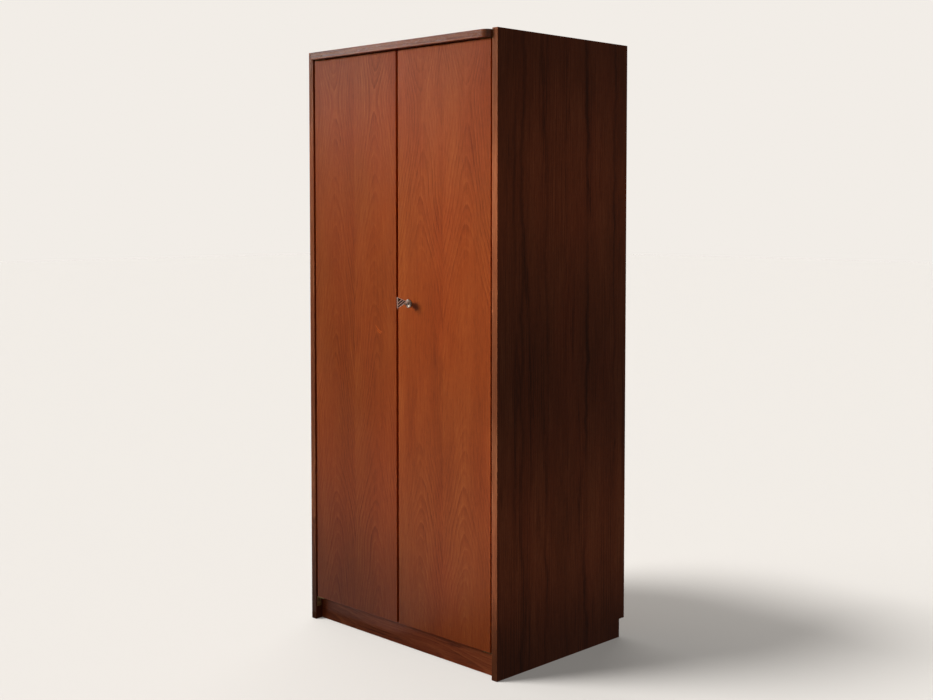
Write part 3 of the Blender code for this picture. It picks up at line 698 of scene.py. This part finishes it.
def slotted_head(mesh, place, normal, radius, turn):
    """Adds a low screw head: a disc with two half domes, and the slot between them."""
    normal = Vector(normal)
    across = normal.orthogonal().normalized()
    other = normal.cross(across)
    first = across * cos(turn) + other * sin(turn)
    second = normal.cross(first)
    place = Vector(place)
    floor = radius * 0.05
    turned(mesh, ((-SCREW_SUNK, radius), (floor, radius)), place, normal, 20)
    reach = acos(SLOT_SHARE)
    turns = [reach * (step / 4 - 1.0) for step in range(9)]
    for sign in (1.0, -1.0):
        loops = []
        for height, share in ((floor, 1.0), (radius * 0.13, 0.95), (radius * 0.19, 0.72)):
            loop = []
            for a in turns:
                out = max(cos(a) * share, SLOT_SHARE) * sign
                flat = first * (out * radius) + second * (sin(a) * share * sign * radius)
                loop.append(place + normal * height + flat)
            loops.append(loop)
        loft(mesh, loops)


def add_piece(mesh, name, look, body):
    bmesh.ops.recalc_face_normals(mesh, faces=mesh.faces)
    data = bpy.data.meshes.new(name)
    mesh.to_mesh(data)
    mesh.free()
    data.shade_smooth()
    data.set_sharp_from_angle(angle=radians(38))
    data.materials.append(look)
    piece = bpy.data.objects.new(name, data)
    bpy.context.scene.collection.objects.link(piece)
    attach(piece, body)
    return piece


def add_fan(mesh, middle, level, length, tall):
    """The key's bow: a thin web with a rim at its wide end, a bar at each side, and ribs."""
    rim_start = length - RIM_WIDE
    corner = tall - CORNER_DROP

    def flank(out):
        """Half the fan's height at some way out from its neck."""
        return FAN_NECK + (tall - CORNER_SOFT - FAN_NECK) * out / (length - FAN_CLOSE)

    def plate(upper, lower, half, soft):
        """A plate between its upper and lower edge, each as (way out, height)."""
        outline = [*upper, *reversed(lower)]
        places = [(BOW_NECK - out, level + up) for out, up in outline]
        slab(mesh, places, middle, half, soft)

    web = ((0.0, FAN_NECK), (rim_start, flank(rim_start)))
    plate(web, [(out, -up) for out, up in web], BOW_HALF * 0.48, 0.0001)
    rim = ((rim_start, corner + 0.0006), (length - 0.0019, tall - 0.0002),
           (length - CORNER_SOFT, tall), (length - 0.0004, tall - CORNER_SOFT),
           (length, corner * 0.4))
    plate(rim, [(out, -up) for out, up in rim], BOW_HALF, 0.0004)
    ends = ((-0.001, FAN_NECK), (rim_start + 0.0004, flank(rim_start)))
    for sign in (1.0, -1.0):
        plate([(out, sign * (up + 0.0001)) for out, up in ends],
              [(out, sign * (up - BAR_WIDE)) for out, up in ends], BOW_HALF * 0.86, 0.0003)
    for number in range(RIB_COUNT):
        start = (number - (RIB_COUNT - 1) / 2) * RIB_STEP
        outs = [rim_start * step / RIB_STEPS for step in range(RIB_STEPS + 1)]
        line = [(out, start + RIB_SLOPE * (length / 2 - out)) for out in outs]
        inside = [(out, up) for out, up in line if abs(up) < flank(out) - 0.0006]
        ends = (inside[0], inside[-1])
        plate([(out, up + RIB_HALF) for out, up in ends],
              [(out, up - RIB_HALF) for out, up in ends], BOW_HALF * 0.84, 0.0003)


def add_bit(mesh, middle, level):
    """The key's bit: a small plate below the stem's end, with one ward cut into its foot."""
    near, far = KEY_TIP - STEM_SOFT - BIT_LONG, KEY_TIP - STEM_SOFT
    top, foot = level - 0.001, level - BIT_DEEP
    ward = foot + WARD_DEEP
    outline = [(near, top), (near, foot), (near + WARD_START, foot), (near + WARD_START, ward),
               (near + WARD_END, ward), (near + WARD_END, foot), (far, foot), (far, top)]
    slab(mesh, outline, middle, BIT_HALF, 0.0001)


def add_key():
    """The key again, with the ribbed fan of its bow, a moulded collar and a stepped bit."""
    low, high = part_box("key")
    middle = (low[0] + high[0]) / 2
    level = (low[2] + high[2]) / 2
    mesh = bmesh.new()
    add_fan(mesh, middle, level, BOW_NECK - low[1], high[2] - level)
    collar = BOW_NECK + COLLAR_GAP
    reach = KEY_TIP - collar
    stem = ((0.0034, STEM_RADIUS), (reach - STEM_SOFT, STEM_RADIUS),
            (reach, STEM_RADIUS - STEM_SOFT))
    turned(mesh, (*COLLAR, *stem), (middle, collar, level), (0.0, 1.0, 0.0))
    add_bit(mesh, middle, level)
    look = key_metal("key_nickel", middle, BOW_HALF)
    piece = add_piece(mesh, "key_fan_bow", look, "key")
    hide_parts("key")
    return piece


# Each maker of screws gives its screws one by one, as (body, place, outward direction, radius)


def plate_screws(body, node, inset, depth, radius):
    """Four screws near the corners of an upright plate, facing the back of the wardrobe."""
    low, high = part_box(node)
    for x in (low[0] + inset[0], high[0] - inset[0]):
        for z in (low[2] + inset[1], high[2] - inset[1]):
            yield body, (x, depth, z), (0.0, 1.0, 0.0), radius


def lock_screws():
    """Screws of the lock's case and of the strike plate."""
    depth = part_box("lock_case")[1][1]
    yield from plate_screws("right_door", "lock_case", CASE_INSET, depth, CASE_SCREW)
    low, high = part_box("strike_plate")
    for z in (low[2] + STRIKE_INSET, high[2] - STRIKE_INSET):
        yield "left_door", (low[0] + STRIKE_INSET, high[1], z), (0.0, 1.0, 0.0), STRIKE_SCREW


def bolt_screws():
    """Screws of the sliding bolts' housings and of their keepers."""
    for label in ("upper", "lower"):
        node = label + "_bolt_housing"
        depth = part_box(node)[0][1] + LEAF_THICK
        yield from plate_screws("left_door", node, BOLT_INSET, depth, BOLT_SCREW)
        low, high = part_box(label + "_bolt_keeper")
        face, up = (low[2], -1.0) if label == "upper" else (high[2], 1.0)
        for x in (low[0] + KEEPER_INSET, high[0] - KEEPER_INSET):
            place = (x, (low[1] + high[1]) / 2, face)
            yield "cabinet", place, (0.0, 0.0, up), KEEPER_SCREW


def pivot_screws():
    """Screws of the pivot hinges' brackets and leaves."""
    for side, sign in (("left", -1.0), ("right", 1.0)):
        low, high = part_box(f"lower_{side}_pivot_bracket")
        depth = (low[1] + high[1]) / 2
        wall = low[0] + LEAF_THICK if side == "left" else high[0] - LEAF_THICK
        place = (wall, depth, low[2] + BRACKET_RISE)
        yield "cabinet", place, (-sign, 0.0, 0.0), BRACKET_SCREW
        for label in ("upper", "lower"):
            low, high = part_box(f"{label}_{side}_door_leaf")
            end, up = (high[2], 1.0) if label == "upper" else (low[2], -1.0)
            for x in LEAF_SCREW_PLACES:
                yield side + "_door", (sign * x, depth, end), (0.0, 0.0, up), LEAF_SCREW
        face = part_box(f"upper_{side}_pivot_leaf")[1][2] - UPPER_LEAF_THICK
        for x in LEAF_SCREW_PLACES:
            yield "cabinet", (sign * x, depth, face), (0.0, 0.0, -1.0), LEAF_SCREW


def socket_screws():
    """Screws of the hanging rail's sockets, below the rail."""
    for side, sign in (("left", 1.0), ("right", -1.0)):
        low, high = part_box(f"rail_socket_{side}")
        face = high[0] if side == "left" else low[0]
        middle = (low[1] + high[1]) / 2
        centre = low[2] + (high[1] - low[1]) / 2
        for a in (-0.25 * pi, -0.75 * pi):
            place = (face, middle + SOCKET_REACH * cos(a), centre + SOCKET_REACH * sin(a))
            yield "cabinet", place, (sign, 0.0, 0.0), SOCKET_SCREW


def add_screws(metals):
    """The screw heads of each body, as one piece, with their slots turned each its own way."""
    heads = {"cabinet": [], "left_door": [], "right_door": []}
    for maker in (lock_screws, bolt_screws, pivot_screws, socket_screws):
        for body, place, normal, radius in maker():
            heads[body].append((place, normal, radius))
    for body, places in heads.items():
        mesh = bmesh.new()
        for number, (place, normal, radius) in enumerate(places):
            slotted_head(mesh, place, normal, radius, 0.4 + 2.3 * number)
        add_piece(mesh, f"screws_{body}", metals["brass"], body)


def add_nails(metals):
    """Flat nail heads round the edge of the back panel and down its middle."""
    low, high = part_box("back_panel")
    face = high[1]
    rows = round((high[2] - low[2] - 2 * NAIL_INSET) / NAIL_STEP)
    columns = round((high[0] - low[0] - 2 * NAIL_INSET) / NAIL_STEP)
    bottom, top = low[2] + NAIL_INSET, high[2] - NAIL_INSET
    left, right = low[0] + NAIL_INSET, high[0] - NAIL_INSET
    places = [(x, bottom + (top - bottom) * row / rows)
              for x in (left, 0.0, right) for row in range(rows + 1)]
    places += [(left + (right - left) * column / columns, z)
               for z in (bottom, top) for column in range(1, columns)
               if column * 2 != columns]
    mesh = bmesh.new()
    for x, z in places:
        turned(mesh, NAIL_HEAD, (x, face, z), (0.0, 1.0, 0.0), 12)
    add_piece(mesh, "back_nails", metals["steel"], "cabinet")


# Stage, light and camera


def add_camera():
    data = bpy.data.cameras.new("camera")
    data.lens = CAMERA_LENS
    data.sensor_width = 36.0
    data.shift_x, data.shift_y = CAMERA_SHIFT
    camera = bpy.data.objects.new("camera", data)
    camera.location = CAMERA_PLACE
    camera.rotation_euler = (pi / 2 - CAMERA_PITCH, 0.0, CAMERA_AZIMUTH)
    bpy.context.scene.collection.objects.link(camera)
    bpy.context.scene.camera = camera


def seen_only(tree, seen, other):
    """Mixes two shaders: one for what the camera sees, one for the light that is thrown back."""
    ray = tree.nodes.new("ShaderNodeLightPath")
    mix = tree.nodes.new("ShaderNodeMixShader")
    tree.links.new(ray.outputs["Is Camera Ray"], mix.inputs[0])
    tree.links.new(other, mix.inputs[1])
    tree.links.new(seen, mix.inputs[2])
    return mix.outputs[0]


def add_world():
    world = bpy.data.worlds.new("studio")
    world.use_nodes = True
    bpy.context.scene.world = world
    tree = world.node_tree
    fill = tree.nodes["Background"]
    fill.inputs["Color"].default_value = (*FILL, 1.0)
    seen = tree.nodes.new("ShaderNodeBackground")
    seen.inputs["Color"].default_value = (*BACKDROP, 1.0)
    both = seen_only(tree, seen.outputs[0], fill.outputs[0])
    tree.links.new(both, tree.nodes["World Output"].inputs["Surface"])


def add_floor():
    """A pale floor of the backdrop's colour, which only shows the shadow that falls on it."""
    mesh = bmesh.new()
    bmesh.ops.create_grid(mesh, x_segments=1, y_segments=1, size=FLOOR_SIZE / 2)
    data = bpy.data.meshes.new("floor")
    mesh.to_mesh(data)
    mesh.free()
    floor = bpy.data.objects.new("floor", data)
    bpy.context.scene.collection.objects.link(floor)
    floor.visible_diffuse = False
    floor.visible_glossy = False
    look = bpy.data.materials.new("pale_floor")
    look.use_nodes = True
    tree = look.node_tree
    tree.nodes.remove(tree.nodes["Principled BSDF"])
    matt = tree.nodes.new("ShaderNodeBsdfDiffuse")
    matt.inputs["Color"].default_value = (*[part * FLOOR_MATT for part in BACKDROP], 1.0)
    glow = tree.nodes.new("ShaderNodeEmission")
    glow.inputs["Color"].default_value = (*[part * FLOOR_GLOW for part in BACKDROP], 1.0)
    both = tree.nodes.new("ShaderNodeAddShader")
    tree.links.new(matt.outputs[0], both.inputs[0])
    tree.links.new(glow.outputs[0], both.inputs[1])
    tree.links.new(both.outputs[0], tree.nodes["Material Output"].inputs["Surface"])
    data.materials.append(look)
    return floor


def add_card():
    """A black card, seen by no camera, part of the way from the doors to the front light."""
    lamp = Vector(KEY_AIM) - Vector(KEY_TRAVEL).normalized() * KEY_DISTANCE
    edge = [Vector((x, DOOR_FACE, z)).lerp(lamp, CARD_SHARE) for x, z in CARD_EDGE]
    data = bpy.data.meshes.new("card")
    data.from_pydata(edge, [], [range(len(edge))])
    card = bpy.data.objects.new("card", data)
    bpy.context.scene.collection.objects.link(card)
    for kind in ("camera", "diffuse", "glossy", "transmission"):
        setattr(card, "visible_" + kind, False)
    return card


def add_lamp(name, kind, travel, power, colour, receivers):
    """A light that shines along travel, on the objects that receivers lets it reach."""
    data = bpy.data.lights.new(name, kind)
    data.energy = power
    data.color = colour
    lamp = bpy.data.objects.new(name, data)
    lamp.rotation_euler = Vector(travel).to_track_quat("-Z", "Y").to_euler()
    lamp.light_linking.receiver_collection = receivers
    bpy.context.scene.collection.objects.link(lamp)
    return lamp


def add_window(name, aim, travel, distance, size, power, colour, receivers):
    """A soft light that shines along travel, at some distance from the place it aims at."""
    travel = Vector(travel).normalized()
    lamp = add_lamp(name, "AREA", travel, power, colour, receivers)
    lamp.location = Vector(aim) - travel * distance
    lamp.data.shape = "RECTANGLE"
    lamp.data.size, lamp.data.size_y = size
    return lamp


def add_sun(name, travel, spread, power, receivers):
    """A white light that shines from the whole of a wide disc in the sky."""
    lamp = add_lamp(name, "SUN", travel, power, (1.0, 1.0, 1.0), receivers)
    lamp.data.angle = spread
    return lamp


def group_of(name, member, state):
    """A collection that says which object a light reaches, or which one it leaves out."""
    group = bpy.data.collections.new(name)
    group.objects.link(member)
    group.collection_objects[0].light_linking.link_state = state
    return group


def add_lights(floor, card, key_piece):
    """Windows that light the wardrobe, a small one for its key, and suns that light the floor."""
    ground = group_of("ground", floor, "INCLUDE")
    things = group_of("things", floor, "EXCLUDE")
    only_key = group_of("key_only", key_piece, "INCLUDE")
    front = add_window("front_window", KEY_AIM, KEY_TRAVEL, KEY_DISTANCE, KEY_SIZE, KEY_POWER,
                       (1.0, 0.955, 0.91), things)
    front.data.spread = KEY_SPREAD
    front.visible_glossy = False
    high = add_window("high_window", SHEEN_AIM, SHEEN_TRAVEL, SHEEN_DISTANCE, SHEEN_SIZE,
                      SHEEN_POWER, (1.0, 0.97, 0.95), things)
    high.visible_diffuse = False
    back = add_window("back_window", BACK_AIM, BACK_TRAVEL, BACK_DISTANCE, BACK_SIZE,
                      BACK_POWER, (1.0, 0.98, 0.96), things)
    sun = add_sun("floor_sun", SHADOW_TRAVEL, SHADOW_SPREAD, SHADOW_SUN, ground)
    roof = add_sun("floor_roof", ROOF_TRAVEL, ROOF_SPREAD, ROOF_SUN, ground)
    low = add_window("low_window", GLOW_PLACE, (0.0, 0.0, 1.0), 0.0, GLOW_SIZE, GLOW_POWER,
                     (1.0, 0.98, 0.96), things)
    low.visible_diffuse = False
    glint = add_window("key_glint", key_piece.bound_box[0], GLINT_TRAVEL, GLINT_DISTANCE,
                       GLINT_SIZE, GLINT_POWER, (1.0, 0.95, 0.90), only_key)
    uncarded = group_of("uncarded", card, "EXCLUDE")
    for lamp in (high, back, sun, roof, low, glint):
        lamp.light_linking.blocker_collection = uncarded


def main():
    bpy.context.scene.view_settings.view_transform = "Standard"
    metals = make_metals()
    paint_nodes(metals)
    key = add_key()
    add_screws(metals)
    add_nails(metals)
    add_camera()
    add_world()
    floor = add_floor()
    add_lights(floor, add_card(), key)


main()
